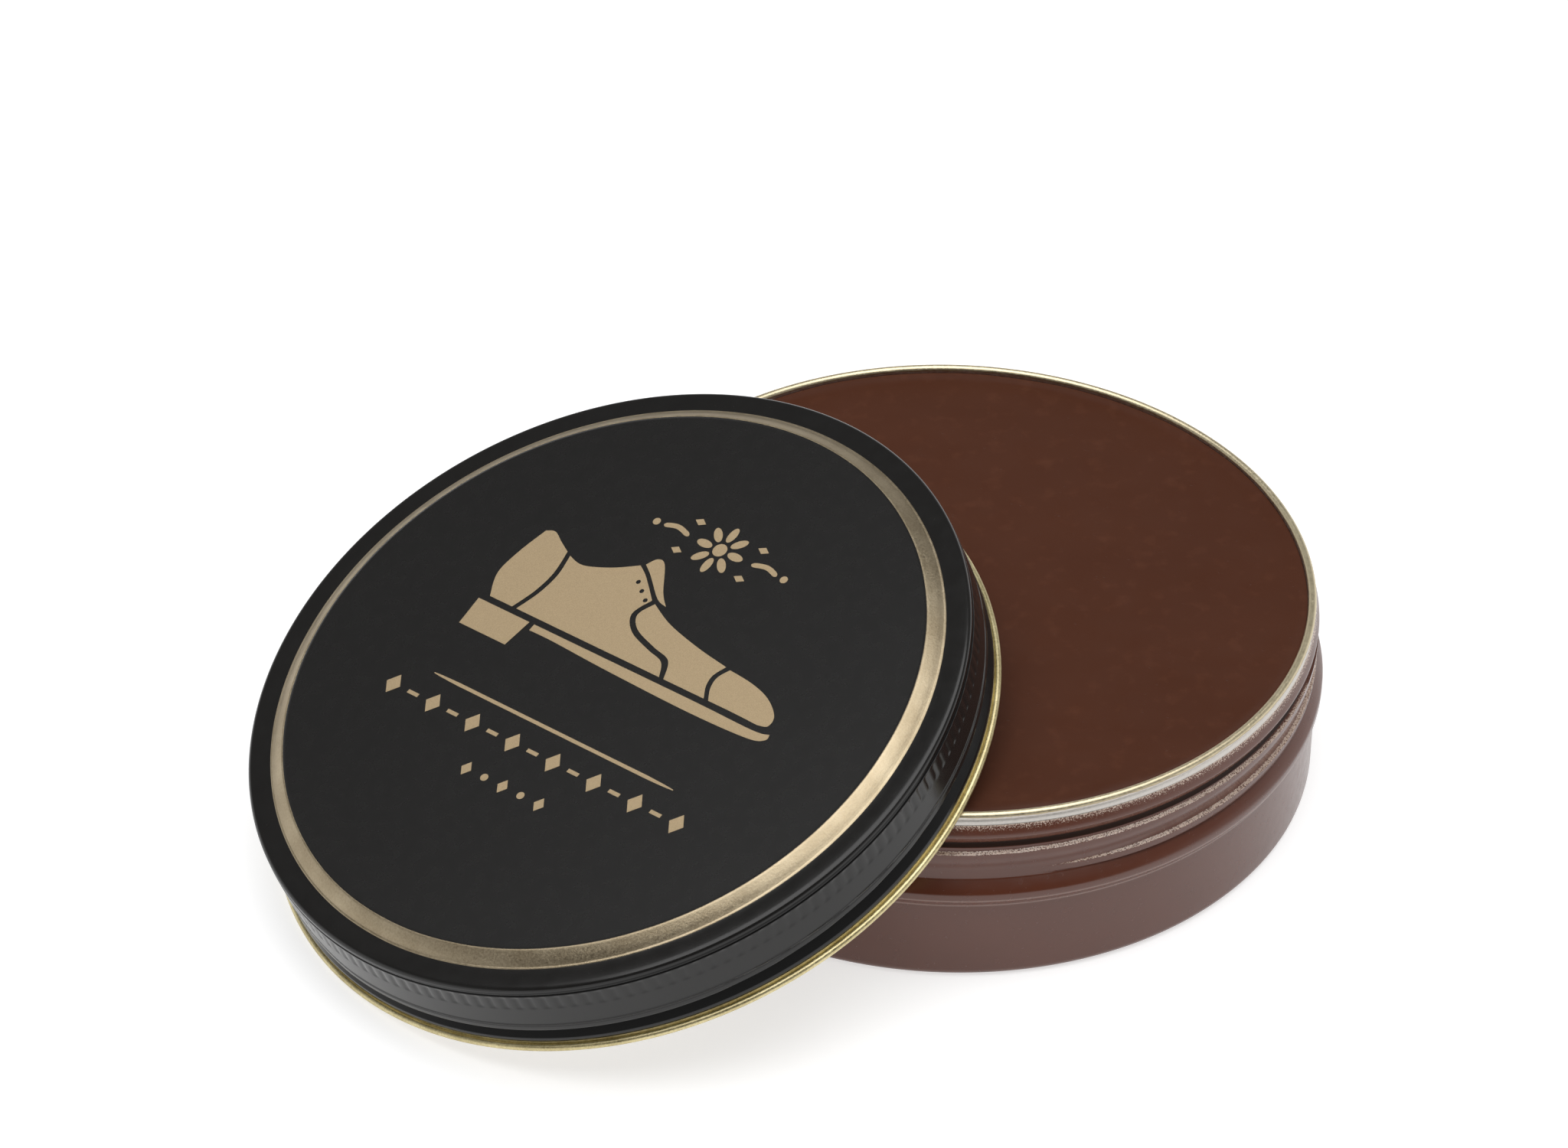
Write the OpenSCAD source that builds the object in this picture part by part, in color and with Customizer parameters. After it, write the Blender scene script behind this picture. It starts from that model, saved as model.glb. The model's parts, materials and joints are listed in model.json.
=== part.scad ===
// A round screw-lid polish tin, open. The base stands upright and full of polish. The
// lid leans on it: its hem touches the table on one side and the base's rim on the other.
// Millimetres. The origin is the centre of the base's underside, and +Z is the base's axis.

/* [Sheet] */
// Thickness of the tinplate
sheet = 0.25; // [0.2:0.01:0.28]

/* [Base] */
// Inner radius of the rolled rim
rim_r = 39.5; // [39.4:0.05:39.6]
// Diameter of the roll at the rim
curl_d = 0.94; // [0.8:0.02:1]
// Height of the base to the top of its rim
base_h = 22.5; // [22.2:0.1:26]
// Outer radius of the threaded neck, between its ridges
neck_r = 40.5; // [40.4:0.05:40.6]
// How far the thread and the band above it stand out from the neck
neck_relief = 0.4; // [0.35:0.05:0.45]
// Outer radius of the plain lower wall
wall_r = 41.05; // [40.8:0.05:41.3]
// Outer radius of the bead that stops the lid
bead_r = 41.73; // [41.5:0.01:42]
// Height at which the bead ends and the neck starts
neck_z = 13.6; // [13:0.1:14]
// Rounding of the bottom edge
foot_round = 1.15; // [0.6:0.05:2]

/* [Polish] */
// Drop from the top of the rim to the surface of the polish
headspace = 0.95; // [0.9:0.05:1.2]

/* [Thread] */
// Rise of the thread in one turn
lead = 2.9; // [2.6:0.1:3]
// Length of the base's thread, in turns
base_turns = 1.45; // [0.8:0.05:1.45]
// Length of the lid's thread, in turns
lid_turns = 0.9; // [0.5:0.05:0.9]
// How far the lid's thread stands in from its bore
lid_relief = 0.4; // [0.3:0.05:0.4]

/* [Lid] */
// Radius of the raised flat panel
panel_r = 36.8; // [34:0.1:37]
// Drop of the bevel around the panel
panel_step = 1.09; // [0.6:0.01:1.3]
// Outer radius of the lid's wall
lid_wall_r = 41.37; // [41.37:0.01:41.5]
// Radius of the roll at the hem
hem_roll = 0.42; // [0.38:0.01:0.45]
// Depth from the panel to the middle of the hem's roll
hem_depth = 11.2; // [11.2:0.1:12]

/* [Liner] */
// Thickness of the sealing disc under the panel
liner_t = 1; // [0.8:0.1:1]

/* [Leaning pose] */
// Tilt of the lid
lean = 20.75; // [18:0.25:22]
// Direction in which the lid leans out, around +Z
lean_azimuth = -150.5; // [-180:0.5:180]
// Gap left under the hem and at the rim
rest_gap = 0.06; // [0.04:0.01:0.1]

/* [Hidden] */
$fn = 96;
arc_steps = 6;

// Base
curl_r = curl_d / 2;
curl_centre = [rim_r + curl_r, base_h - curl_r];
band_r = neck_r + neck_relief;
band_z = base_h - 2.2;
band_lower = 1.05;
band_upper = 1.2;
band_tilt = 15;
shoulder_z = neck_z - 1.4;
shoulder_k = (norm([bead_r - neck_r, neck_z - shoulder_z]) - neck_z + shoulder_z)
    / (bead_r - neck_r);
lip_z = neck_z - 2.25;
lip_h = 1.1;
groove_r = 35.5;
groove_w = 1.8;
groove_h = 0.22;
fill_gap = 0.04;

// Threads
thread_w = 1.9;
crest_w = 0.8;
root_depth = 0.12;
lid_root_depth = 0.2;
fade_angle = 25;
fade_from = 0.08;
ring_step = 6;
base_thread_start = -80;
base_thread_z = neck_z + 0.53;
lid_thread_start = 50;
lid_thread_z = -9.15;
press_depth = 0.47;

// Lid
bore_gap = 0.1;
bore_r = band_r + bore_gap;
bevel_r = panel_r + 1.78;
shoulder_r = 0.75;
shoulder_inset = 0.32;
shoulder_centre = [lid_wall_r - shoulder_inset - shoulder_r, -panel_step - shoulder_r];
knurl_top = -panel_step - 1.2;
waist_top = -7.1;
waist_z = [-8.2, -9.6];
waist_r = bore_r + 0.22;
flare_z = [-9.8, -10.2];
hem_r = bore_r + 0.03 + hem_roll;
liner_r = 40.5;
liner_gap = 0.03;
liner_chamfer = [0.5, 0.4];

// The hem and the rim are circles that cross at two points where the lid rests on the rim,
// so both lie on balls about the point where the lid's axis meets the base's axis.
// axis_len is the distance from that point to the middle of the hem, found by halving.
hem_z = rest_gap + hem_roll + hem_r * sin(lean);
touch = curl_r + hem_roll + rest_gap;
function rim_ball(s) = norm([curl_centre.x, curl_centre.y - hem_z + s * cos(lean)]);
function too_short(s) = norm([hem_r, s]) < rim_ball(s) + touch;
function halve(lo, hi, k) =
    let (mid = (lo + hi) / 2)
    k == 0 ? mid : too_short(mid) ? halve(mid, hi, k - 1) : halve(lo, mid, k - 1);
axis_len = halve(60, 180, 40);
pivot_z = hem_z - axis_len * cos(lean);

function arc(centre, size, from, to) =
    [for (i = [0:arc_steps]) let (a = from + (to - from) * i / arc_steps)
        centre + [size.x * cos(a), size.y * sin(a)]];
function reversed(points) = [for (i = [len(points) - 1:-1:0]) points[i]];

// The underside, from the axis outwards, and the side, from the foot up to the rim, each
// moved in by d from the outer face. A shallow ring is pressed into the underside.
function underside(d) = [
    [0, d],
    [groove_r - groove_w / 2, d],
    [groove_r - groove_w / 4, d + groove_h],
    [groove_r + groove_w / 4, d + groove_h],
    [groove_r + groove_w / 2, d]
];
function side(d) = concat(
    arc([wall_r - foot_round, foot_round], [foot_round - d, foot_round - d], -90, 0),
    [
        [wall_r - d, lip_z - lip_h + d / 2],
        [bead_r - d, lip_z + d / 2],
        [bead_r - d, shoulder_z - shoulder_k * d],
        [neck_r - d, neck_z - shoulder_k * d]
    ],
    arc([neck_r - d, band_z], [neck_relief, band_lower - d], -90, 0),
    arc([rim_r + sheet - d, band_z], [band_r - rim_r - sheet, band_upper - d], band_tilt, 90)
);

// A ridge of one thread on a wall of radius r, rooted depth inside it. A height below 0
// points it at the axis. Its rings are trapezoids that shrink towards both ends.
module ridge(r, height, depth, turns, start, z0) {
    sweep = 360 * turns;
    rings = ceil(sweep / ring_step);
    root = r - sign(height) * depth;
    fade = function (a) min(1, fade_from + min(a, sweep - a) / fade_angle);
    section = function (f) [
        [root, -thread_w / 2 * f],
        [r + height * f, -crest_w / 2 * f],
        [r + height * f, crest_w / 2 * f],
        [root, thread_w / 2 * f]
    ];
    points = [for (k = [0:rings]) let (a = sweep * k / rings) for (p = section(fade(a)))
        [p.x * cos(start + a), p.x * sin(start + a), z0 + lead * a / 360 + p.y]];
    sides = [for (k = [0:rings - 1]) for (i = [0:3]) let (j = (i + 1) % 4)
        [4 * k + i, 4 * k + j, 4 * k + 4 + j, 4 * k + 4 + i]];
    last = 4 * rings;
    faces = concat(sides, [[3, 2, 1, 0], [last, last + 1, last + 2, last + 3]]);
    polyhedron(points, height < 0 ? [for (f = faces) reversed(f)] : faces, convexity = 10);
}

// Places what is drawn about the lid's own axis, with its panel at z = 0, where it leans.
module leaning() {
    translate([0, 0, pivot_z])
        rotate([0, lean, lean_azimuth])
            translate([0, 0, axis_len + hem_depth])
                children();
}

module base_can() {
    color([0.42, 0.30, 0.27]) {
        rotate_extrude()
            polygon(concat(
                underside(0),
                side(0),
                [[rim_r + sheet, curl_centre.y], [rim_r, curl_centre.y]],
                reversed(side(sheet)),
                reversed(underside(sheet))
            ));
        rotate_extrude()
            translate(curl_centre)
                circle(curl_r);
        ridge(neck_r, neck_relief, root_depth, base_turns, base_thread_start, base_thread_z);
    }
}

module polish() {
    inset = sheet + fill_gap;
    top = base_h - headspace;
    color([0.31, 0.19, 0.145])
        rotate_extrude()
            polygon(concat(
                underside(inset),
                side(inset),
                [[rim_r - fill_gap, top], [0, top]]
            ));
}

module lid_liner() {
    top = -panel_step - sheet - liner_gap;
    color([0.86, 0.83, 0.76])
        leaning()
            rotate_extrude()
                polygon([
                    [0, top],
                    [liner_r - liner_chamfer.x, top],
                    [liner_r, top - liner_chamfer.y],
                    [liner_r, top - liner_t],
                    [0, top - liner_t]
                ]);
}

// The wall's outer face, from the panel down to the hem, and its inner face back up again.
function lid_outside() = concat(
    [[0, 0], [panel_r, 0], [bevel_r, -panel_step]],
    arc(shoulder_centre, [shoulder_r, shoulder_r], 90, 0),
    [
        [lid_wall_r - shoulder_inset - 0.1, knurl_top + 0.33],
        [lid_wall_r, knurl_top],
        [lid_wall_r, waist_top],
        [waist_r, waist_z[0]],
        [waist_r, waist_z[1]],
        [lid_wall_r, flare_z[0]],
        [lid_wall_r, flare_z[1]],
        [hem_r - hem_roll + sheet, flare_z[1] - 0.3],
        [hem_r - hem_roll + sheet, -hem_depth]
    ]
);
function lid_inside() = concat(
    [
        [hem_r - hem_roll, -hem_depth],
        [bore_r, flare_z[1]],
        [bore_r, waist_z[0]],
        [lid_wall_r - sheet, waist_top],
        [lid_wall_r - sheet, knurl_top - 0.3]
    ],
    arc(shoulder_centre, [shoulder_r - sheet, shoulder_r - sheet], 0, 90),
    [[bevel_r, -panel_step - sheet], [panel_r, -sheet], [0, -sheet]]
);

module lid_shell() {
    color([0.17, 0.17, 0.17])
        leaning() {
            difference() {
                rotate_extrude()
                    polygon(concat(lid_outside(), lid_inside()));
                ridge(lid_wall_r, -press_depth, root_depth, lid_turns, lid_thread_start,
                    lid_thread_z);
            }
            ridge(bore_r, -lid_relief, lid_root_depth, lid_turns, lid_thread_start,
                lid_thread_z);
            rotate_extrude()
                translate([hem_r, -hem_depth])
                    circle(hem_roll);
        }
}

base_can();
polish();
lid_liner();
lid_shell();
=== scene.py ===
import json
import math

import bmesh
import bpy
import numpy as np
from mathutils import Matrix, Vector


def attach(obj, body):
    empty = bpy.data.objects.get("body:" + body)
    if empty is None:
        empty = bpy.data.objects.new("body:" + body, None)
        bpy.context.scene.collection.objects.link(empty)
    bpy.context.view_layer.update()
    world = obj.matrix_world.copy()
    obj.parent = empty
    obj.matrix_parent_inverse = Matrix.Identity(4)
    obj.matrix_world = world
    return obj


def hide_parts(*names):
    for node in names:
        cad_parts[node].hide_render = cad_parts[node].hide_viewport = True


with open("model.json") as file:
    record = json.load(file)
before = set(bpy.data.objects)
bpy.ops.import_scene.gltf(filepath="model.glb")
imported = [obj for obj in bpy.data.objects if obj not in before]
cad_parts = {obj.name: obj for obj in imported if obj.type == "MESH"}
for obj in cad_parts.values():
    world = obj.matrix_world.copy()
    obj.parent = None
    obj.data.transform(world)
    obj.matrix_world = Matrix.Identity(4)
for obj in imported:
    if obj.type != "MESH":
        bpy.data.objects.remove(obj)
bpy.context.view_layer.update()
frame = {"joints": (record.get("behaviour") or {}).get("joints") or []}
MM = 0.001


# ---------------------------------------------------------------- places from the frame
def lid_frame():
    """The middle of the lid's panel and the lid's own X, Y and Z directions, in metres."""
    turn = next(j for j in frame["joints"] if j["name"] == "lid_turn")
    n = Vector(turn["axis"]).normalized()
    lean, azimuth = math.acos(n.z), math.atan2(n.y, n.x)
    x = Vector((math.cos(lean) * math.cos(azimuth), math.cos(lean) * math.sin(azimuth),
                -math.sin(lean)))
    return Vector(turn["pos_m"]), x, n.cross(x), n


LID_AT, LID_X, LID_Y, LID_Z = lid_frame()


def in_base(p):
    return np.asarray(p, float) * MM


def in_lid(p):
    """From the lid's own millimetres to metres in the frame."""
    turn = np.array([LID_X, LID_Y, LID_Z])
    return np.asarray(p, float) @ turn * MM + np.array(LID_AT)


# ---------------------------------------------------------------- meshes
SHARP_ANGLE = 38


def arc(cx, cz, rx, rz, start, end, steps):
    return [(cx + rx * math.cos(math.radians(a)), cz + rz * math.sin(math.radians(a)))
            for a in np.linspace(start, end, steps)]


def smooth_line(points, per=6):
    """A Catmull-Rom curve through the points, with per steps between each two."""
    p = np.asarray(points, float)
    out = []
    for i in range(len(p) - 1):
        a, b, c, d = p[max(i - 1, 0)], p[i], p[i + 1], p[min(i + 2, len(p) - 1)]
        for t in np.linspace(0, 1, per, endpoint=False):
            out.append(0.5 * (2 * b + (c - a) * t + (2 * a - 5 * b + 4 * c - d) * t * t
                              + (3 * b - a - 3 * c + d) * t ** 3))
    out.append(p[-1])
    return np.array(out)


def turned(name, radius, height, to_world, zones, outward_up=True, mark=None):
    """A closed skin turned about the axis. radius and height are rows x columns in mm; the
    first and the last row lie on the axis. zones gives each row's material index. mark is a
    value per point for the materials: above 0 for grain with painted highlight specks, below
    0 for painted shade in a deep place.
    outward_up says that the profile climbs on its outer side."""
    rows, cols = radius.shape
    theta = np.linspace(0, 2 * math.pi, cols, endpoint=False)
    grid = np.stack([radius * np.cos(theta), radius * np.sin(theta), height], -1)
    local = np.concatenate([grid[0, :1], grid[1:-1].reshape(-1, 3), grid[-1, :1]])
    top = len(local) - 1

    def at(i, j):
        return 1 + (i - 1) * cols + j % cols

    faces, index = [], []
    for j in range(cols):
        faces.append((0, at(1, j + 1), at(1, j)))
        index.append(zones[0])
        faces.append((top, at(rows - 2, j), at(rows - 2, j + 1)))
        index.append(zones[-1])
    for i in range(1, rows - 2):
        for j in range(cols):
            faces.append((at(i, j), at(i, j + 1), at(i + 1, j + 1), at(i + 1, j)))
            index.append(zones[i])
    if not outward_up:
        faces = [f[::-1] for f in faces]
    mesh = bpy.data.meshes.new(name)
    mesh.from_pydata(to_world(local).tolist(), [], faces)
    mesh.polygons.foreach_set("material_index", index)
    keep_local(mesh, local)
    if mark is not None:
        value = np.concatenate([mark[0, :1], mark[1:-1].ravel(), mark[-1, :1]])
        mesh.attributes.new("mark", "FLOAT", "POINT").data.foreach_set(
            "value", value.astype(np.float32))
    mesh.shade_smooth()
    mesh.set_sharp_from_angle(angle=math.radians(SHARP_ANGLE))
    mesh.update()
    piece = bpy.data.objects.new(name, mesh)
    bpy.context.scene.collection.objects.link(piece)
    return piece


def keep_local(mesh, local):
    """Keeps each point's place in its own part's millimetres, for the materials."""
    place = mesh.attributes.new("place", "FLOAT_VECTOR", "POINT")
    place.data.foreach_set("vector", np.asarray(local, np.float32).ravel())


def columns(profile, cols):
    """A profile as two arrays of rows x columns."""
    p = np.array(profile, float)
    return np.repeat(p[:, :1], cols, 1), np.repeat(p[:, 1:], cols, 1)


def ease(x):
    """A smooth step from 0 to 1."""
    x = np.clip(x, 0, 1)
    return x * x * (3 - 2 * x)


def ripple(theta, seed, waves, low, high):
    """A random wave round the circle, between about -1 and 1: the sum of sine waves that have
    low to high periods each."""
    source = np.random.default_rng(seed)
    total = np.zeros_like(theta)
    for _ in range(waves):
        k = source.integers(low, high)
        total += np.sin(k * theta + source.uniform(0, 2 * math.pi)) / math.sqrt(waves)
    return total


# ---------------------------------------------------------------- materials
def linear(r, g, b):
    def one(v):
        v /= 255
        return v / 12.92 if v <= 0.04045 else ((v + 0.055) / 1.055) ** 2.4
    return one(r), one(g), one(b), 1.0


class Nodes:
    """One material's node tree. place is the point's position in its part's millimetres."""

    def __init__(self, name):
        self.mat = bpy.data.materials.new(name)
        self.mat.use_nodes = True
        self.tree = self.mat.node_tree
        self.shader = next(n for n in self.tree.nodes if n.type == "BSDF_PRINCIPLED")
        place = self.tree.nodes.new("ShaderNodeAttribute")
        place.attribute_name = "place"
        self.place = place.outputs["Vector"]
        split = self.add("ShaderNodeSeparateXYZ", Vector=self.place)
        self.x, self.y, self.z = split.outputs

    def mark(self):
        node = self.tree.nodes.new("ShaderNodeAttribute")
        node.attribute_name = "mark"
        return node.outputs["Fac"]

    def put(self, socket, value):
        if isinstance(value, bpy.types.NodeSocket):
            self.tree.links.new(value, socket)
        else:
            socket.default_value = value

    def add(self, kind, **inputs):
        node = self.tree.nodes.new(kind)
        for name, value in inputs.items():
            self.put(node.inputs[name.replace("_", " ")], value)
        return node

    def math(self, operation, a, b=0.0):
        node = self.tree.nodes.new("ShaderNodeMath")
        node.operation = operation
        self.put(node.inputs[0], a)
        self.put(node.inputs[1], b)
        return node.outputs[0]

    def noise(self, scale, detail=3.0, rough=0.5, vector=None):
        node = self.add("ShaderNodeTexNoise", Scale=scale, Detail=detail, Roughness=rough,
                        Vector=vector or self.place)
        return node.outputs[0]

    def ramp(self, value, low, high, to_low=0.0, to_high=1.0):
        node = self.add("ShaderNodeMapRange", Value=value)
        for name, v in (("From Min", low), ("From Max", high), ("To Min", to_low),
                        ("To Max", to_high)):
            node.inputs[name].default_value = v
        return node.outputs[0]

    def blend(self, share, a, b):
        node = self.tree.nodes.new("ShaderNodeMix")
        node.data_type = "RGBA"
        self.put(node.inputs["Factor"], share)
        colours = [s for s in node.inputs if s.type == "RGBA"]
        self.put(colours[0], a)
        self.put(colours[1], b)
        return next(s for s in node.outputs if s.type == "RGBA")

    def mix(self, share, a, b):
        node = self.tree.nodes.new("ShaderNodeMix")
        node.data_type = "FLOAT"
        self.put(node.inputs["Factor"], share)
        values = [s for s in node.inputs if s.type == "VALUE" and s.name in "AB"]
        self.put(values[0], a)
        self.put(values[1], b)
        return next(s for s in node.outputs if s.type == "VALUE")

    def bump(self, height, distance, strength=1.0, normal=None):
        node = self.add("ShaderNodeBump", Height=height, Distance=distance,
                        Strength=strength)
        if normal is not None:
            self.put(node.inputs["Normal"], normal)
        return node.outputs[0]

    def squashed(self, x=1.0, y=1.0, z=1.0):
        node = self.add("ShaderNodeMapping", Vector=self.place)
        node.inputs["Scale"].default_value = (x, y, z)
        return node.outputs[0]

    def finish(self, colour, metallic, roughness, normal, ior=1.5):
        for name, value in (("Base Color", colour), ("Metallic", metallic),
                            ("Roughness", roughness), ("IOR", ior), ("Normal", normal)):
            self.put(self.shader.inputs[name], value)
        return self.mat


# height, half width and strength of the painted highlight lines along the lip
PAINTED_LIP_HIGHLIGHTS = ((11.36, 0.22, 0.28), (10.3, 0.2, 0.24))


def brown_lacquer():
    """Brown lacquer on tinplate: satin, with bright grains at the top of the band and on the
    thread's shelf, where pale specks are a painted highlight; matt and dark in the groove,
    which is painted shade; and paler along the lip's two edges, which are painted highlight
    lines."""
    n = Nodes("brown_lacquer")
    mark = n.mark()
    cloud = n.noise(0.12, 4.0)
    grain = n.noise(6.5, 3.0, 0.6)
    coarse = n.ramp(mark, 0.0, 1.0)
    # painted shade: the groove is darkened, less glossy and rougher
    painted_shade = n.ramp(mark, -0.1, -0.9)
    colour = n.blend(cloud, linear(84, 44, 29), linear(94, 50, 34))
    # painted highlight: pale specks on the grain of the band's top and the thread's shelf
    painted_glints = n.ramp(n.math("ADD", grain, n.math("MULTIPLY", coarse, 0.2)), 0.6, 0.72)
    painted_glints = n.math("MULTIPLY", painted_glints, n.ramp(coarse, 0.0, 0.5))
    colour = n.blend(n.math("MULTIPLY", painted_glints, 0.8), colour, linear(226, 204, 186))
    colour = n.blend(n.math("MULTIPLY", painted_shade, 0.85), colour, linear(34, 25, 20))
    # painted highlight: two pale lines along the lip's edges
    for z, half, share in PAINTED_LIP_HIGHLIGHTS:
        near = n.ramp(n.math("ABSOLUTE", n.math("SUBTRACT", n.z, z)), half, half * 0.2)
        colour = n.blend(n.math("MULTIPLY", near, share), colour, linear(172, 148, 136))
    rough = n.ramp(n.noise(0.9, 3.0), 0.3, 0.7, 0.22, 0.28)
    rough = n.mix(painted_shade, rough, 0.5)
    n.put(n.shader.inputs["Specular IOR Level"], n.ramp(painted_shade, 0.0, 1.0, 0.5, 0.12))
    peel = n.bump(n.noise(0.8, 2.0), 0.00001, 0.08)
    grains = n.math("MULTIPLY", grain, coarse)
    return n.finish(colour, 0.0, rough, n.bump(grains, 0.00002, 1.0, peel), ior=1.57)


def rim_metal():
    """Bare tinplate round the rim, with gold lacquer over the top of its roll."""
    n = Nodes("rim_metal")
    fine = n.noise(3.0, 4.0, 0.65)
    edge = n.noise(0.4, 4.0, 0.65)
    # the height, made ragged: gold from about 22.1 mm up, with a darker brown line along that
    # edge
    line = n.math("ADD", n.z, n.math("MULTIPLY", n.math("SUBTRACT", edge, 0.5), 0.5))
    gold = n.ramp(line, 22.08, 22.12)
    dark = n.math("MULTIPLY", n.ramp(line, 22.0, 22.1), n.ramp(line, 22.24, 22.14))
    tin = n.blend(fine, linear(168, 163, 158), linear(222, 217, 210))
    lacquer = n.blend(fine, linear(186, 172, 138), linear(226, 215, 186))
    colour = n.blend(gold, tin, lacquer)
    colour = n.blend(n.math("MULTIPLY", dark, 0.55), colour, linear(132, 112, 76))
    rough = n.mix(gold, n.ramp(fine, 0.3, 0.7, 0.32, 0.5), n.ramp(fine, 0.3, 0.7, 0.32, 0.48))
    return n.finish(colour, 1.0, rough, n.bump(fine, 0.00003, 0.5))


def wax():
    """Set wax polish: even brown, with faint pour marks and a few pits."""
    n = Nodes("polish_wax")
    drift = n.noise(0.05, 3.0, vector=n.squashed(1.0, 2.6, 1.0))
    mottle = n.noise(0.5, 4.0)
    colour = n.blend(drift, linear(68, 35, 20), linear(76, 42, 27))
    colour = n.blend(n.math("MULTIPLY", n.ramp(mottle, 0.55, 0.8), 0.25), colour,
                     linear(100, 60, 42))
    rough = n.ramp(n.noise(0.3, 3.0), 0.3, 0.7, 0.38, 0.48)
    pits = n.ramp(n.noise(1.7, 2.0), 0.72, 0.8)
    skin = n.bump(n.noise(0.8, 3.0), 0.00002, 0.3)
    n.put(n.shader.inputs["Specular IOR Level"], 0.2)
    return n.finish(colour, 0.0, rough, n.bump(pits, -0.00005, 0.5, skin), ior=1.36)


def enamel(name, low, high, rough_low, rough_high, peel, ior, marked=False):
    """Black enamel with a little cloud in its colour and a fine peel. A marked one has
    painted
    shade in its deep places: matt and darker there."""
    n = Nodes(name)
    cloud = n.noise(0.08, 4.0)
    dust = n.ramp(n.noise(3.4, 2.0, 0.4), 0.74, 0.8)
    colour = n.blend(cloud, linear(*low), linear(*high))
    colour = n.blend(n.math("MULTIPLY", dust, 0.06), colour, linear(120, 118, 114))
    rough = n.ramp(n.noise(0.6, 3.0), 0.3, 0.7, rough_low, rough_high)
    if marked:
        # painted shade: deep places darkened towards black and less shiny
        painted_shade = n.ramp(n.mark(), -0.1, -0.9)
        colour = n.blend(n.math("MULTIPLY", painted_shade, 0.85), colour, linear(12, 12, 12))
        n.put(n.shader.inputs["Specular IOR Level"], n.ramp(painted_shade, 0.0, 1.0, 0.5, 0.1))
    return n.finish(colour, 0.0, rough, n.bump(n.noise(1.6, 2.0), 0.00001, peel), ior=ior)


def gold_sheet(name, dark, light, rough_low, rough_high, speckle):
    """Gold lacquer on tinplate, finely mottled."""
    n = Nodes(name)
    fine = n.noise(4.2, 5.0, 0.7)
    broad = n.noise(0.25, 3.0)
    share = n.mix(0.6, broad, fine)
    colour = n.blend(n.ramp(share, 0.3, 0.7), linear(*dark), linear(*light))
    rough = n.ramp(fine, 0.3, 0.7, rough_low, rough_high)
    return n.finish(colour, 1.0, rough, n.bump(fine, 0.00005, speckle))


def gold_ink():
    """Printed gold: fine metal flake in a satin ink."""
    n = Nodes("gold_ink")
    flake = n.noise(9.0, 3.0, 0.7)
    colour = n.blend(n.ramp(flake, 0.3, 0.7), linear(160, 140, 108), linear(190, 168, 134))
    return n.finish(colour, 0.55, n.ramp(flake, 0.3, 0.7, 0.42, 0.58),
                    n.bump(flake, 0.00001, 0.3))


def board():
    """Waxed pulpboard of the sealing disc, stained where the base's rim presses on it."""
    n = Nodes("liner_board")
    fibre = n.noise(1.6, 5.0, 0.7, n.squashed(1.0, 0.25, 1.0))
    colour = n.blend(fibre, linear(214, 204, 184), linear(238, 232, 218))
    square = n.math("ADD", n.math("MULTIPLY", n.x, n.x), n.math("MULTIPLY", n.y, n.y))
    off = n.math("ABSOLUTE", n.math("SUBTRACT", n.math("SQRT", square), 39.6))
    ring = n.ramp(off, 0.6, 0.2)
    colour = n.blend(n.math("MULTIPLY", ring, 0.4), colour, linear(128, 88, 66))
    return n.finish(colour, 0.0, 0.7, n.bump(fibre, 0.00006, 0.5), ior=1.45)


# ---------------------------------------------------------------- the base
# millimetres and degrees, in the base's own frame. RIM_CURL is the roll's middle, out and up,
# and its radius. GROOVE_ROWS is how many of the band's rows lie in the groove under it.
LEAD = 2.9
BASE_WALL_R, NECK_R, BEAD_R = 41.05, 40.5, 41.73
RIDGE_H = 0.4
RIDGE_START, RIDGE_TURNS, RIDGE_Z = -80.0, 1.45, 14.13
RUN_OUT = 25
RIM_CURL = (39.97, 22.03, 0.47)
FOOT_ROUND = 1.15
BASE_COLS = 480
GROOVE_ROWS = 8
LACQUER, RIM = range(2)


def ridge_shape(dz):
    """Height of the thread's ridge, 0 to 1, at dz mm from its middle: a short shelf above and
    a long flank below."""
    upper = 1 - ease((dz - 0.28) / 0.24)
    lower = 1 - ease((-dz - 0.15) / 2.1)
    return np.where(dz > 0, upper, lower)


def base_thread(theta_deg, z):
    """How far the thread stands out of the neck."""
    length = RIDGE_TURNS * 360
    out = np.zeros(np.broadcast(theta_deg, z).shape)
    for lap in (0, 360):
        a = (theta_deg - RIDGE_START) % 360 + lap
        fade = ease(a / RUN_OUT) * ease((length - a) / RUN_OUT)
        out = np.maximum(out, np.where(a <= length, fade, 0)
                         * ridge_shape(z - RIDGE_Z - LEAD * a / 360))
    return out * RIDGE_H


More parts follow.
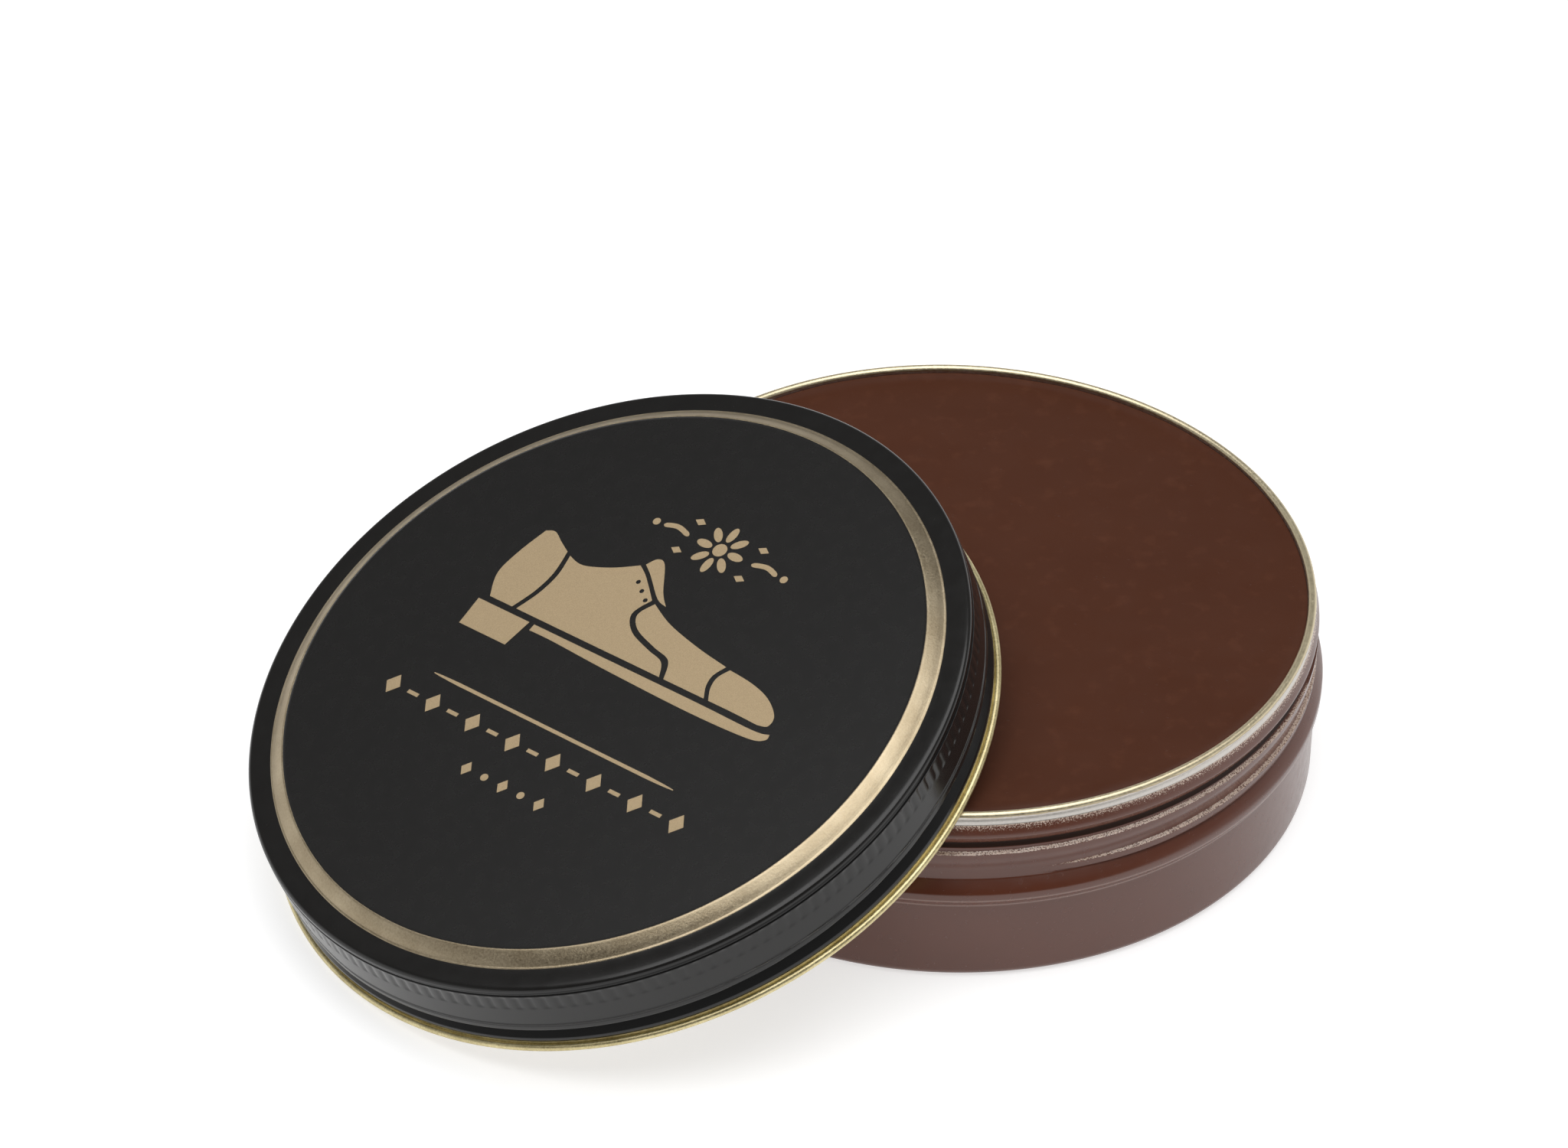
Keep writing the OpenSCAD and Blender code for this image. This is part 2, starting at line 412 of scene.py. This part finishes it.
def make_base():
    under = [(0, 0), (12, 0), (24, 0), (34.6, 0), (34.8, 0.03), (35.05, 0.2), (35.2, 0.22),
             (35.8, 0.22), (35.95, 0.2), (36.2, 0.03), (36.4, 0), (38.5, 0)]
    foot = arc(BASE_WALL_R - FOOT_ROUND, FOOT_ROUND, FOOT_ROUND, FOOT_ROUND, -90, 0, 10)
    side = [(BASE_WALL_R, z) for z in (3.0, 5.0, 7.5, 10.0, 10.16)]
    side += [(41.08, 10.27), (41.15, 10.42), (41.62, 11.2), (41.69, 11.29), (BEAD_R, 11.4),
             (BEAD_R, 11.8), (BEAD_R, 12.1), (41.7, 12.25), (41.6, 12.42), (41.2, 12.87),
             (40.8, 13.3), (40.62, 13.48), (40.54, 13.56), (NECK_R, 13.68)]
    neck = [(NECK_R, z) for z in np.arange(13.78, 17.9, 0.06)]
    groove = [(40.48, 17.96), (40.43, 18.02), (40.34, 18.14), (40.22, 18.36), (40.16, 18.54),
              (40.18, 18.64), (40.3, 18.7), (40.44, 18.74), (40.5, 18.8)]
    band = groove + smooth_line([(40.54, 18.88), (40.7, 19.2), (40.86, 19.55), (40.9, 19.7),
                                 (40.86, 19.9), (40.74, 20.2), (40.6, 20.5), (40.49, 20.75),
                                 (40.45, 20.86)], 3).tolist()
    bare = [(40.44, 20.91), (40.41, 20.95), (40.38, 20.98), (40.35, 21.03), (40.33, 21.12),
            (40.29, 21.35), (40.24, 21.5), (40.2, 21.58)]
    curl_r, curl_z, curl = RIM_CURL
    roll = arc(curl_r, curl_z, curl, curl, -62, 180, 27)
    inside = [(39.5, 21.7), (39.5, 21.5), (39.6, 21.1), (40.2, 20.6), (40.62, 20.2),
              (40.62, 19.9), (40.3, 19.3), (39.92, 18.7), (39.92, 18.3), (40.25, 17.7),
              (40.25, 15.5), (40.25, 13.6), (41.2, 12.6), (41.45, 12.0), (41.45, 11.5),
              (40.8, 10.4), (40.8, 6.0), (40.8, 1.3), (40.5, 0.6), (39.9, 0.26), (30, 0.25),
              (15, 0.25), (0, 0.25)]
    profile = under + foot + side + neck + band + bare + roll + inside
    radius, height = columns(profile, BASE_COLS)
    theta = np.linspace(0, 360, BASE_COLS, endpoint=False)
    neck_at = len(under + foot + side)
    band_at = neck_at + len(neck)
    bare_at = band_at + len(band)
    lacquer_rows = bare_at + 2      # the lacquer ends just above the band
    # the thread, with grain and painted highlight specks on its shelf, where the height of
    # the ridge falls off upwards
    rows = slice(neck_at, band_at)
    stand = base_thread(theta[None], height[rows])
    mark = np.zeros_like(radius)
    mark[rows] = ease(-np.gradient(stand, axis=0) / 0.05)
    radius[rows] += stand
    # grain with painted highlight specks at the top of the band and along the lacquer's upper
    # edge, and painted shade in the groove under it
    mark[band_at:bare_at] = 0.55 * ease((height[band_at:bare_at] - 20.1) / 0.7)
    mark[bare_at:lacquer_rows + 1] = 1.0
    mark[band_at + 1:band_at + GROOVE_ROWS] = -1.0
    # the outer wall isn't quite round
    radius[len(under):neck_at] += 0.012 * ripple(np.radians(theta), 3, 9, 2, 14)
    zones = [LACQUER] * lacquer_rows + [RIM] * (len(profile) - lacquer_rows)
    piece = turned("tin_base", radius, height, in_base, zones, mark=mark)
    piece.data.materials.append(brown_lacquer())
    piece.data.materials.append(rim_metal())
    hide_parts("base_can")
    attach(piece, "base")


def make_polish():
    top = 21.55
    cols = 360
    rise = [(r, top + 0.24 * ease((r - 37.6) / 1.9) ** 2) for r in
            (39.46, 39.3, 39.1, 38.9, 38.6, 38.3, 37.9, 37.4)]
    flat = [(r, top) for r in np.linspace(36.5, 1.0, 40)] + [(0, top)]
    under = [(0, 0.29), (20, 0.29), (39.8, 0.29), (40.46, 0.66), (40.76, 1.3), (40.76, 10.38),
             (41.4, 11.48), (41.4, 11.98), (41.16, 12.56), (40.21, 13.56), (40.21, 17.68),
             (39.88, 18.26), (39.88, 18.72), (40.21, 19.3), (40.56, 19.95), (40.56, 20.15),
             (40.1, 20.58), (39.55, 21.06), (39.46, 21.45)]
    profile = under + rise + flat
    radius, height = columns(profile, cols)
    theta = np.linspace(0, 2 * math.pi, cols, endpoint=False)
    # low waves from the pour, and a meniscus that wanders along the rim
    first = len(under)
    for i in range(first, len(profile) - 1):
        r = profile[i][0]
        x, y = r * np.cos(theta), r * np.sin(theta)
        pour = (0.5 * np.sin(0.21 * x + 0.4 * np.sin(0.11 * y))
                + 0.5 * np.sin(0.3 * y + 0.17 * x))
        height[i] += 0.018 * pour * ease((39.4 - r) / 3)
    height[first:first + 6] += 0.03 * ripple(theta, 11, 8, 3, 30)
    piece = turned("polish_fill", radius, height, in_base, [0] * len(profile))
    piece.data.materials.append(wax())
    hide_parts("polish")
    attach(piece, "base")


# ---------------------------------------------------------------- the lid
# millimetres and degrees, in the lid's own frame: the panel's top is at 0, the hem is below
RIBS, PER_RIB = 168, 6
LID_COLS = RIBS * PER_RIB
WALL_R = 41.37
RIB_DEPTH = 0.085
WAIST_TOP, WAIST_FOOT, WAIST_DEPTH = -8.2, -9.7, 0.46
# the side, in degrees, where the waist's painted shade is darkest
PAINTED_SHADE_SIDE = 75
LID_THREAD_START, LID_THREAD_LENGTH, LID_THREAD_Z = 50.0, 324, -9.15
PANEL, RING, SKIRT, GOLD = range(4)


def lid_waist(theta_deg, z):
    """The waist between the knurl and the hem. Its top edge rises with the thread, with a
    double line above it. Gives the change of radius and how deep each place lies, 0 to 1."""
    a = (theta_deg - LID_THREAD_START) % 360
    fade = np.where(a <= LID_THREAD_LENGTH,
                    ease(a / RUN_OUT) * ease((LID_THREAD_LENGTH - a) / RUN_OUT), 0)
    centre = LID_THREAD_Z + LEAD * a / 360
    top_edge = np.maximum(WAIST_TOP, (centre + 0.75) * fade + WAIST_TOP * (1 - fade))
    inward = ease((top_edge - z) / 0.22)
    outward = np.clip((z - WAIST_FOOT) / np.maximum(top_edge + 9.5, 0.5), 0, 1)
    line = top_edge + 0.95
    change = (-WAIST_DEPTH * inward * outward
              + 0.06 * (1 - ease(np.abs(z - line) / 0.14))
              - 0.05 * (1 - ease(np.abs(z - line + 0.25) / 0.14)))
    return change, inward * ease((z + 9.8) / 0.2)


def make_lid():
    panel = [(0, 0)] + [(r, 0) for r in (6, 12, 18, 24, 30, 34, 36, 36.5)]
    bevel = [(36.68, 0.0), (36.76, 0.035), (36.86, 0.04), (36.96, 0.0), (37.1, -0.09),
             (37.6, -0.4), (38.1, -0.77), (38.34, -0.98), (38.42, -1.03), (38.5, -1.035),
             (38.57, -1.06), (38.62, -1.11)]
    ledge = [(38.8, -1.12), (39.4, -1.11), (40.0, -1.1), (40.6, -1.11)]
    shoulder = ledge + arc(40.81, -1.64, 0.52, 0.52, 84, 4, 12)
    groove = [(41.33, -1.75), (41.33, -1.9), (41.31, -2.05), (41.28, -2.13), (41.28, -2.2),
              (41.35, -2.27)]
    knurl = [(WALL_R, z) for z in (-2.36, -2.46, -2.6, -2.9, -3.2, -3.5, -3.8, -4.1, -4.3,
                                   -4.4, -4.5, -4.6)]
    wall = [(WALL_R, z) for z in (-4.9, -5.2, -5.5)]
    waist = [(WALL_R, z) for z in np.arange(-5.6, -9.79, -0.075)]
    flare = [(WALL_R, -9.8), (WALL_R + 0.02, -9.9), (WALL_R + 0.02, -10.15),
             (41.3, -10.28), (41.22, -10.38), (41.2, -10.5), (41.22, -10.7)]
    hem = arc(41.45, -11.2, 0.42, 0.42, 122, -196, 26)
    inside = [(41.0, -10.9), (40.9, -10.2), (40.8, -9.4), (40.74, -8.4), (40.74, -6.0),
              (40.9, -5.2), (41.12, -4.0), (41.12, -2.7), (40.95, -2.3), (40.7, -2.0),
              (40.3, -1.45), (39.5, -1.36), (38.6, -1.34), (37.0, -0.4), (36.6, -0.26),
              (24, -0.25), (12, -0.25), (0, -0.25)]
    parts = [(panel, PANEL), (bevel, RING), (shoulder, SKIRT), (groove, SKIRT),
             (knurl, SKIRT), (wall, SKIRT), (waist, SKIRT), (flare, SKIRT), (hem, GOLD),
             (inside, GOLD)]
    profile = [p for part, _ in parts for p in part]
    radius, height = columns(profile, LID_COLS)
    theta = np.linspace(0, 360, LID_COLS, endpoint=False)
    (bevel_at, shoulder_at, groove_at, knurl_at, wall_at, waist_at, flare_at, hem_at,
     inside_at) = np.cumsum([len(part) for part, _ in parts])[:-1]
    # the ribs
    k = slice(knurl_at, wall_at)
    phase = (np.arange(LID_COLS) % PER_RIB) / PER_RIB
    dent = np.clip(1 - np.abs(phase - 0.5) / 0.3, 0, 1)
    ends = ease((-2.38 - height[k]) / 0.14) * ease((height[k] + 4.55) / 0.35)
    radius[k] -= RIB_DEPTH * dent[None] * ends
    # the waist, with painted shade in its deep part that is darkest on one side
    w = slice(waist_at, flare_at)
    change, deep = lid_waist(theta[None], height[w])
    radius[w] += change
    mark = np.zeros_like(radius)
    mark[w] = -deep * (0.62 + 0.38 * np.cos(np.radians(theta[None] - PAINTED_SHADE_SIDE)))
    # painted shade in the groove under the shoulder and in the crevice above the hem
    mark[groove_at:knurl_at] = -0.8
    mark[flare_at + 3:hem_at - 3] = -1.0
    # neither the bevel nor the hem is quite true
    radius[bevel_at:shoulder_at] += 0.006 * ripple(np.radians(theta), 5, 9, 3, 30)
    height[hem_at:inside_at] += 0.01 * ripple(np.radians(theta), 8, 7, 2, 16)
    zones = [kind for part, kind in parts for _ in part]
    zones[bevel_at] = PANEL
    zones[shoulder_at - 1] = SKIRT
    zones[hem_at - 2:hem_at] = [GOLD, GOLD]
    piece = turned("tin_lid", radius, height, in_lid, zones, outward_up=False, mark=mark)
    for mat in (enamel("black_panel", (18, 17, 16), (21, 20, 19), 0.26, 0.28, 0.02, 1.46),
                gold_sheet("gold_ring", (138, 123, 98), (184, 170, 144), 0.28, 0.48, 0.45),
                enamel("black_skirt", (22, 21, 20), (28, 27, 26), 0.16, 0.21, 0.1, 1.4, True),
                gold_sheet("gold_hem", (160, 145, 102), (234, 222, 176), 0.26, 0.46, 0.6)):
        piece.data.materials.append(mat)
    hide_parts("lid_shell")
    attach(piece, "lid")


def make_liner():
    top, bottom, r = -1.37, -2.37, 40.5
    face = [(0, bottom), (12, bottom), (25, bottom), (38.9, bottom), (39.2, bottom + 0.08),
            (39.9, bottom + 0.1), (40.2, bottom + 0.03), (40.4, bottom + 0.02)]
    edge = [(r, bottom + 0.1), (r, -1.9), (r, -1.8), (40.42, -1.7), (40.02, top + 0.02)]
    profile = face + edge + [(39.9, top), (30, top), (15, top), (0, top)]
    radius, height = columns(profile, 240)
    piece = turned("seal_disc", radius, height, in_lid, [0] * len(profile))
    piece.data.materials.append(board())
    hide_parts("lid_liner")
    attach(piece, "liner")


# ---------------------------------------------------------------- the ornament on the lid
# the art's unit in mm, the lid's direction that is the art's right, the ink's height above
# the panel and how far the pieces of ink reach down into the sheet
ART_UNIT = 39.5
ART_RIGHT = math.radians(109.3)
INK, SUNK = 0.025, 0.05


def oval(cx, cy, rx, ry, count=28, turn=0.0):
    a = np.linspace(0, 2 * math.pi, count, endpoint=False)
    x, y = rx * np.cos(a), ry * np.sin(a)
    c, s = math.cos(turn), math.sin(turn)
    return np.stack([cx + x * c - y * s, cy + x * s + y * c], 1)


def lozenge(cx, cy, rx, ry):
    return np.array([(cx + rx, cy), (cx, cy + ry), (cx - rx, cy), (cx, cy - ry)])


def bar(cx, cy, w, h):
    return np.array([(cx - w / 2, cy - h / 2), (cx + w / 2, cy - h / 2),
                     (cx + w / 2, cy + h / 2), (cx - w / 2, cy + h / 2)])


def stroke(points, width, per=6):
    """A line of the given width through the points, thinner towards both ends."""
    p = smooth_line(points, per)
    d = np.gradient(p, axis=0)
    d /= np.linalg.norm(d, axis=1)[:, None]
    side = np.stack([-d[:, 1], d[:, 0]], 1)
    t = np.linspace(0, 1, len(p))
    half = (width / 2 * np.sqrt(np.clip(np.minimum(t, 1 - t) / 0.12, 0.06, 1)))[:, None]
    return np.concatenate([p + side * half, (p - side * half)[::-1]])


def patch(*curves):
    """One closed outline from smooth curves that meet at corners."""
    return np.concatenate([smooth_line(c, 6)[:-1] for c in curves])


def shoe():
    """A plain laced shoe from the side, in panels with open seams between them."""
    counter = patch(
        [(-0.388, 0.0), (-0.365, 0.07), (-0.358, 0.14), (-0.372, 0.214)],
        [(-0.372, 0.214), (-0.41, 0.232), (-0.45, 0.252), (-0.478, 0.243)],
        [(-0.478, 0.243), (-0.5, 0.15), (-0.505, 0.07), (-0.47, 0.0)],
        [(-0.47, 0.0), (-0.43, 0.0), (-0.388, 0.0)])
    quarter = patch(
        [(-0.372, 0.0), (-0.349, 0.07), (-0.342, 0.14), (-0.355, 0.206)],
        [(-0.355, 0.206), (-0.3, 0.197), (-0.22, 0.226), (-0.15, 0.268)],
        [(-0.15, 0.268), (-0.11, 0.245), (-0.04, 0.19)],
        [(-0.04, 0.19), (-0.062, 0.13), (-0.02, 0.083), (0.06, 0.057), (0.12, 0.042),
         (0.15, 0.0)],
        [(0.15, 0.0), (0.0, 0.0), (-0.2, 0.0), (-0.372, 0.0)])
    vamp = patch(
        [(0.166, 0.0), (0.136, 0.054), (0.07, 0.071), (-0.01, 0.096), (-0.045, 0.135),
         (-0.024, 0.184)],
        [(-0.024, 0.184), (0.06, 0.15), (0.18, 0.124), (0.297, 0.108)],
        [(0.297, 0.108), (0.282, 0.07), (0.288, 0.035), (0.31, 0.0)],
        [(0.31, 0.0), (0.24, 0.0), (0.166, 0.0)])
    cap = patch(
        [(0.326, 0.0), (0.304, 0.035), (0.298, 0.07), (0.314, 0.105)],
        [(0.314, 0.105), (0.4, 0.097), (0.47, 0.078), (0.523, 0.042), (0.53, 0.008),
         (0.5, -0.002)],
        [(0.5, -0.002), (0.41, 0.0), (0.326, 0.0)])
    tongue = patch(
        [(-0.138, 0.277), (-0.12, 0.305), (-0.09, 0.3), (-0.03, 0.225), (0.01, 0.19)],
        [(0.01, 0.19), (-0.03, 0.201), (-0.1, 0.253), (-0.138, 0.277)])
    eyelets = [oval(-0.118 + 0.03 * i, 0.222 - 0.02 * i, 0.007, 0.007, 14) for i in range(3)]
    sole = patch(
        [(-0.288, -0.019), (0.0, -0.019), (0.3, -0.019), (0.5, -0.021), (0.553, -0.012)],
        [(0.553, -0.012), (0.552, -0.032), (0.5, -0.048), (0.3, -0.054), (0.0, -0.048),
         (-0.2, -0.04), (-0.288, -0.04)],
        [(-0.288, -0.04), (-0.288, -0.019)])
    heel = np.array([(-0.495, -0.019), (-0.306, -0.019), (-0.318, -0.108), (-0.488, -0.108)])
    return [counter, quarter, vamp, cap, tongue, sole, heel] + eyelets


def ornament():
    """The shoe with a rosette above it, and a rule with two rows of lozenges below it."""
    shapes = [s * 1.06 + (0.0, 0.07) for s in shoe()]
    cx, cy = 0.02, 0.5
    shapes.append(oval(cx, cy, 0.022, 0.022))
    for i in range(8):
        a = i * math.pi / 4
        shapes.append(oval(cx + 0.058 * math.cos(a), cy + 0.058 * math.sin(a), 0.027, 0.013,
                           20, a))
    for way in (-1, 1):
        shapes.append(stroke([(cx + way * 0.12, cy), (cx + way * 0.17, cy + 0.012),
                              (cx + way * 0.215, cy)], 0.016))
        shapes.append(oval(cx + way * 0.243, cy, 0.012, 0.012, 16))
        shapes.append(lozenge(cx + way * 0.12, cy - 0.055, 0.02, 0.012))
        shapes.append(lozenge(cx + way * 0.12, cy + 0.055, 0.02, 0.012))
    count = 15
    for i in range(count):
        x = (i - (count - 1) / 2) * 0.078
        shapes.append(lozenge(x, -0.3, 0.026, 0.034) if i % 2 == 0
                      else bar(x, -0.3, 0.04, 0.012))
    for i in range(5):
        x = (i - 2) * 0.07
        shapes.append(lozenge(x, -0.43, 0.018, 0.024) if i % 2 == 0
                      else oval(x, -0.43, 0.012, 0.012, 16))
    shapes.append(stroke([(x, -0.215) for x in (-0.46, -0.23, 0, 0.23, 0.46)], 0.011))
    return shapes


def make_ornament():
    curve = bpy.data.curves.new("ornament", "CURVE")
    curve.dimensions = "2D"
    curve.fill_mode = "BOTH"
    curve.extrude = (INK + SUNK) / 2
    for shape in ornament():
        spline = curve.splines.new("POLY")
        spline.points.add(len(shape) - 1)
        for point, (x, y) in zip(spline.points, shape):
            point.co = (x * ART_UNIT, y * ART_UNIT, 0, 1)
        spline.use_cyclic_u = True
    holder = bpy.data.objects.new("ornament_curve", curve)
    bpy.context.scene.collection.objects.link(holder)
    bpy.context.view_layer.update()
    mesh = bpy.data.meshes.new_from_object(
        holder.evaluated_get(bpy.context.evaluated_depsgraph_get()))
    bpy.data.objects.remove(holder)
    bpy.data.curves.remove(curve)
    co = np.zeros(len(mesh.vertices) * 3)
    mesh.vertices.foreach_get("co", co)
    co = co.reshape(-1, 3)
    c, s = math.cos(ART_RIGHT), math.sin(ART_RIGHT)
    local = np.stack([co[:, 0] * c - co[:, 1] * s, co[:, 0] * s + co[:, 1] * c,
                      co[:, 2] + (INK - SUNK) / 2], 1)
    mesh.vertices.foreach_set("co", in_lid(local).astype(np.float32).ravel())
    keep_local(mesh, local)
    weld(mesh)
    mesh.materials.clear()
    mesh.materials.append(gold_ink())
    piece = bpy.data.objects.new("lid_ornament", mesh)
    bpy.context.scene.collection.objects.link(piece)
    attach(piece, "lid")


def weld(mesh):
    """Joins the caps of the ornament's shapes to their sides, so each is closed."""
    bm = bmesh.new()
    bm.from_mesh(mesh)
    bmesh.ops.remove_doubles(bm, verts=bm.verts, dist=1e-6)
    bmesh.ops.recalc_face_normals(bm, faces=bm.faces)
    bm.to_mesh(mesh)
    bm.free()
    mesh.update()


make_base()
make_polish()
make_lid()
make_liner()
make_ornament()


# ---------------------------------------------------------------- floor, light and camera
FLOOR_HALF, FLOOR_GAP = 3.0, 0.00005
# brightness of the surroundings, from the horizon (0) to straight up (1)
SKY = ((0.0, 1.15), (0.2, 0.95), (0.45, 0.2), (0.8, 0.14), (1.0, 0.3))
CAMERA_AT = (-0.01876, -0.60048, 0.49778)
CAMERA_PITCH, CAMERA_ROLL = math.radians(38.338), math.radians(1.003)
CAMERA_LENS = 158.2


def make_floor():
    """Grey paper that gives off light of its own, so that it looks white and only the shadows
    at the contacts show."""
    mesh = bpy.data.meshes.new("floor")
    r, z = FLOOR_HALF, -FLOOR_GAP
    mesh.from_pydata([(-r, -r, z), (r, -r, z), (r, r, z), (-r, r, z)], [], [(0, 1, 2, 3)])
    floor = bpy.data.objects.new("floor", mesh)
    bpy.context.scene.collection.objects.link(floor)
    mat = bpy.data.materials.new("floor_paper")
    mat.use_nodes = True
    shader = next(n for n in mat.node_tree.nodes if n.type == "BSDF_PRINCIPLED")
    for name, value in (("Base Color", (0.56, 0.56, 0.56, 1)), ("Roughness", 0.9),
                        ("Specular IOR Level", 0.1), ("Emission Color", (1, 1, 1, 1)),
                        ("Emission Strength", 0.64)):
        shader.inputs[name].default_value = value
    mesh.materials.append(mat)


def make_softbox(place, size, radiance):
    """An area light that looks straight down."""
    light = bpy.data.lights.new("softbox_above", "AREA")
    light.shape = "RECTANGLE"
    light.size, light.size_y = size
    light.energy = radiance * math.pi * size[0] * size[1]
    lamp = bpy.data.objects.new("softbox_above", light)
    bpy.context.scene.collection.objects.link(lamp)
    lamp.location = place


def make_world():
    """Pale walls at the sides and the back, dark behind the viewer and overhead."""
    world = bpy.data.worlds.new("studio")
    world.use_nodes = True
    tree = world.node_tree
    back = next(n for n in tree.nodes if n.type == "BACKGROUND")
    place = tree.nodes.new("ShaderNodeTexCoord")
    split = tree.nodes.new("ShaderNodeSeparateXYZ")
    ramp = tree.nodes.new("ShaderNodeValToRGB")
    front = tree.nodes.new("ShaderNodeMapRange")
    product = tree.nodes.new("ShaderNodeMath")
    product.operation = "MULTIPLY"
    for name, value in (("From Min", -0.25), ("From Max", -0.8), ("To Min", 1.0),
                        ("To Max", 0.12)):
        front.inputs[name].default_value = value
    tree.links.new(place.outputs["Generated"], split.inputs[0])
    tree.links.new(split.outputs["Z"], ramp.inputs[0])
    tree.links.new(split.outputs["Y"], front.inputs["Value"])
    tree.links.new(ramp.outputs[0], product.inputs[0])
    tree.links.new(front.outputs[0], product.inputs[1])
    tree.links.new(product.outputs[0], back.inputs["Strength"])
    while len(ramp.color_ramp.elements) < len(SKY):
        ramp.color_ramp.elements.new(0.5)
    for element, (at, grey) in zip(ramp.color_ramp.elements, SKY):
        element.position = at
        element.color = (grey, grey, grey, 1)
    back.inputs["Color"].default_value = (1, 1, 1, 1)
    bpy.context.scene.world = world


def make_camera():
    """At the photographed viewing angle: 38.3 degrees down, from the front."""
    pitch, roll = CAMERA_PITCH, CAMERA_ROLL
    ahead = Vector((0, math.cos(pitch), -math.sin(pitch)))
    right = Vector((1, 0, 0))
    up = right.cross(ahead)
    right, up = (math.cos(roll) * right + math.sin(roll) * up,
                 -math.sin(roll) * right + math.cos(roll) * up)
    data = bpy.data.cameras.new("camera")
    data.sensor_width = 36
    data.lens = CAMERA_LENS
    data.clip_start, data.clip_end = 0.01, 20
    camera = bpy.data.objects.new("camera", data)
    bpy.context.scene.collection.objects.link(camera)
    turn = Matrix((right, up, -ahead)).transposed().to_4x4()
    camera.matrix_world = Matrix.Translation(CAMERA_AT) @ turn
    bpy.context.scene.camera = camera


make_floor()
make_world()
make_softbox((0.0, -0.1, 0.9), (1.2, 1.0), 2.8)
make_camera()
bpy.context.scene.view_settings.view_transform = "Standard"
